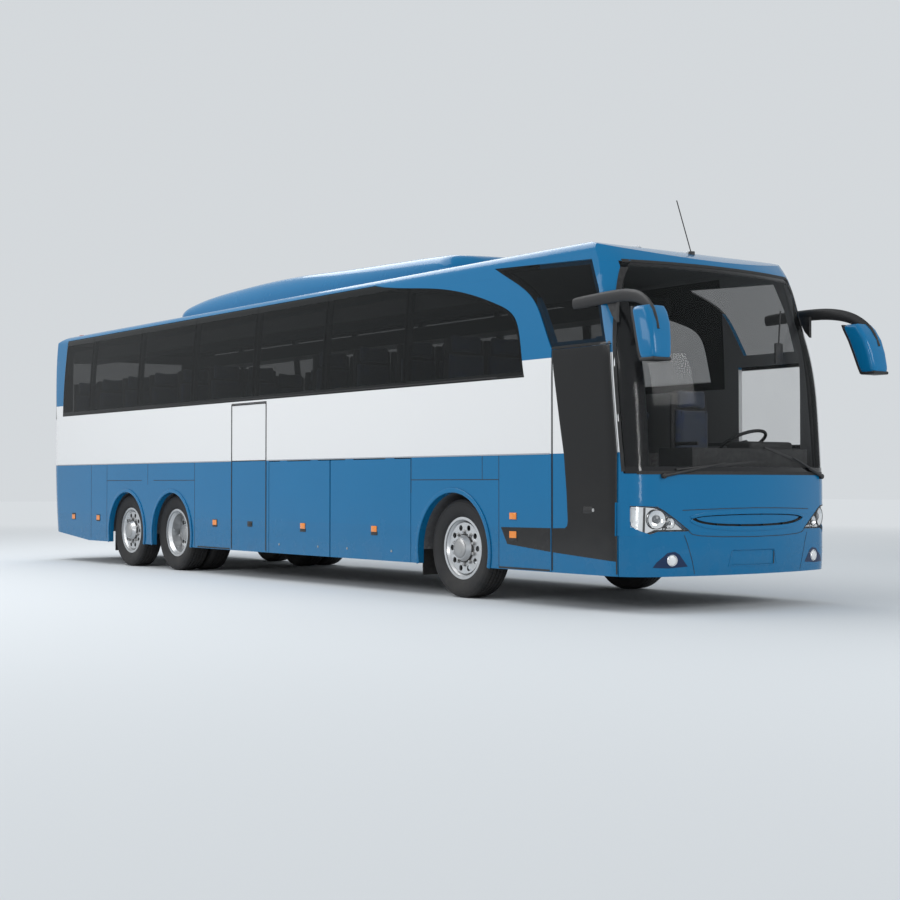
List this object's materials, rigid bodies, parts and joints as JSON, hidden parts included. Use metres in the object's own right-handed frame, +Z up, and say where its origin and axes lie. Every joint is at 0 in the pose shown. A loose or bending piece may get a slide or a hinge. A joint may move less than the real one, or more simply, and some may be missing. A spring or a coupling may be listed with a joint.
{
  "type": "three-axle coach bus",
  "caption": "Full-size touring coach with steered front axle, twin drive wheels, tag axle, swing-out doors, luggage flaps and engine lid.",
  "frame": {"origin": "on the ground below the middle of the whole coach", "axes": "+X forward, +Y to the coach's left, +Z up"},
  "size_m": [13.2557, 3.02, 3.7579],
  "materials": {
    "body_paint": "gloss blue with a white band",
    "tinted_glass": "dark tint",
    "clear_glass": "clear",
    "black_plastic": "satin",
    "lamp_clear": "clear lens",
    "lamp_red": "lens",
    "lamp_amber": "lens",
    "frame_steel": "matt coating",
    "cast_steel": "rough",
    "wheel_steel": "silver paint",
    "tyre": "matt",
    "rubber": "matt",
    "seat_fabric": "woven",
    "floor_cover": "vinyl"
  },
  "bodies": {
    "coach": {"chassis_frame": "frame_steel", "cabin_floor": "floor_cover", "side_wall_right": "body_paint", "side_wall_left": "body_paint", "roof_shell": "body_paint", "roof_pod": "body_paint", "front_mask": "body_paint", "front_bumper": "body_paint", "rear_wall": "body_paint", "rear_bumper": "body_paint", "windscreen": "clear_glass", "side_glass_right": "tinted_glass", "side_glass_left": "tinted_glass", "rear_window": "tinted_glass", "front_lamps": "lamp_clear", "tail_lamps": "lamp_red", "side_markers": "lamp_amber", "grille": "black_plastic", "wipers": "black_plastic", "mirrors": "body_paint", "antenna": "black_plastic", "seats": "seat_fabric", "luggage_racks": "black_plastic", "dashboard": "black_plastic", "steering_wheel": "black_plastic", "engine_block": "cast_steel", "front_axle": "cast_steel", "rear_axles": "cast_steel", "mudflaps": "rubber"},
    "right_knuckle": {"knuckle_right": "cast_steel"},
    "front_right_wheel": {"front_wheel_right": "wheel_steel", "front_tyre_right": "tyre"},
    "drive_right_wheels": {"drive_wheels_right": "wheel_steel", "drive_tyres_right": "tyre"},
    "tag_right_wheel": {"tag_wheel_right": "wheel_steel", "tag_tyre_right": "tyre"},
    "front_right_flap": {"flap_right_front": "body_paint"},
    "rear_right_flap": {"flap_right_rear": "body_paint"},
    "left_knuckle": {"knuckle_left": "cast_steel"},
    "front_left_wheel": {"front_wheel_left": "wheel_steel", "front_tyre_left": "tyre"},
    "drive_left_wheels": {"drive_wheels_left": "wheel_steel", "drive_tyres_left": "tyre"},
    "tag_left_wheel": {"tag_wheel_left": "wheel_steel", "tag_tyre_left": "tyre"},
    "front_left_flap": {"flap_left_front": "body_paint"},
    "rear_left_flap": {"flap_left_rear": "body_paint"},
    "front_swing_arm": {"front_door_arm": "cast_steel"},
    "front_entry_door": {"front_door": "body_paint"},
    "mid_swing_arm": {"mid_door_arm": "cast_steel"},
    "mid_entry_door": {"mid_door": "body_paint"},
    "rear_lid": {"engine_lid": "body_paint"}
  },
  "joints": [
    {"name": "steer_right", "type": "hinge", "parent": "coach", "child": "right_knuckle", "pos_m": [3.595, -0.93, 0.4825], "axis": [0, 0, 1], "range_deg": [-42, 42]},
    {"name": "front_right_spin", "type": "hinge", "parent": "right_knuckle", "child": "front_right_wheel", "pos_m": [3.595, -1.07, 0.4825], "axis": [0, 1, 0], "continuous": true},
    {"name": "drive_right_spin", "type": "hinge", "parent": "coach", "child": "drive_right_wheels", "pos_m": [-2.545, -0.899, 0.4825], "axis": [0, 1, 0], "continuous": true},
    {"name": "tag_right_spin", "type": "hinge", "parent": "coach", "child": "tag_right_wheel", "pos_m": [-3.885, -1.07, 0.4825], "axis": [0, 1, 0], "continuous": true},
    {"name": "front_right_flap_hinge", "type": "hinge", "parent": "coach", "child": "front_right_flap", "pos_m": [2.0935, -1.27, 1.37], "axis": [-1, 0, 0], "range_deg": [0, 85]},
    {"name": "rear_right_flap_hinge", "type": "hinge", "parent": "coach", "child": "rear_right_flap", "pos_m": [0.66, -1.27, 1.37], "axis": [-1, 0, 0], "range_deg": [0, 85]},
    {"name": "steer_left", "type": "hinge", "parent": "coach", "child": "left_knuckle", "pos_m": [3.595, 0.93, 0.4825], "axis": [0, 0, 1], "range_deg": [-42, 42]},
    {"name": "front_left_spin", "type": "hinge", "parent": "left_knuckle", "child": "front_left_wheel", "pos_m": [3.595, 1.07, 0.4825], "axis": [0, 1, 0], "continuous": true},
    {"name": "drive_left_spin", "type": "hinge", "parent": "coach", "child": "drive_left_wheels", "pos_m": [-2.545, 0.899, 0.4825], "axis": [0, 1, 0], "continuous": true},
    {"name": "tag_left_spin", "type": "hinge", "parent": "coach", "child": "tag_left_wheel", "pos_m": [-3.885, 1.07, 0.4825], "axis": [0, 1, 0], "continuous": true},
    {"name": "front_left_flap_hinge", "type": "hinge", "parent": "coach", "child": "front_left_flap", "pos_m": [2.0935, 1.27, 1.37], "axis": [1, 0, 0], "range_deg": [0, 85]},
    {"name": "rear_left_flap_hinge", "type": "hinge", "parent": "coach", "child": "rear_left_flap", "pos_m": [0.66, 1.27, 1.37], "axis": [1, 0, 0], "range_deg": [0, 85]},
    {"name": "front_door_swing", "type": "hinge", "parent": "coach", "child": "front_swing_arm", "pos_m": [5.669, -1.14, 1], "axis": [0, 0, 1], "range_deg": [0, 127]},
    {"name": "front_door_turn", "type": "hinge", "parent": "front_swing_arm", "child": "front_entry_door", "pos_m": [5.169, -1.14, 1], "axis": [0, 0, 1], "range_deg": [-127, 127]},
    {"name": "mid_door_swing", "type": "hinge", "parent": "coach", "child": "mid_swing_arm", "pos_m": [-0.64, -1.14, 1], "axis": [0, 0, -1], "range_deg": [0, 127]},
    {"name": "mid_door_turn", "type": "hinge", "parent": "mid_swing_arm", "child": "mid_entry_door", "pos_m": [-0.14, -1.14, 1], "axis": [0, 0, -1], "range_deg": [-127, 127]},
    {"name": "engine_lid_hinge", "type": "hinge", "parent": "coach", "child": "rear_lid", "pos_m": [-6.64, 0, 1.695], "axis": [0, 1, 0], "range_deg": [0, 75]}
  ],
  "couplings": [
    {"joint": "steer_left", "follows": "steer_right", "ratio": 1},
    {"joint": "front_door_turn", "follows": "front_door_swing", "ratio": -1},
    {"joint": "mid_door_turn", "follows": "mid_door_swing", "ratio": -1}
  ]
}
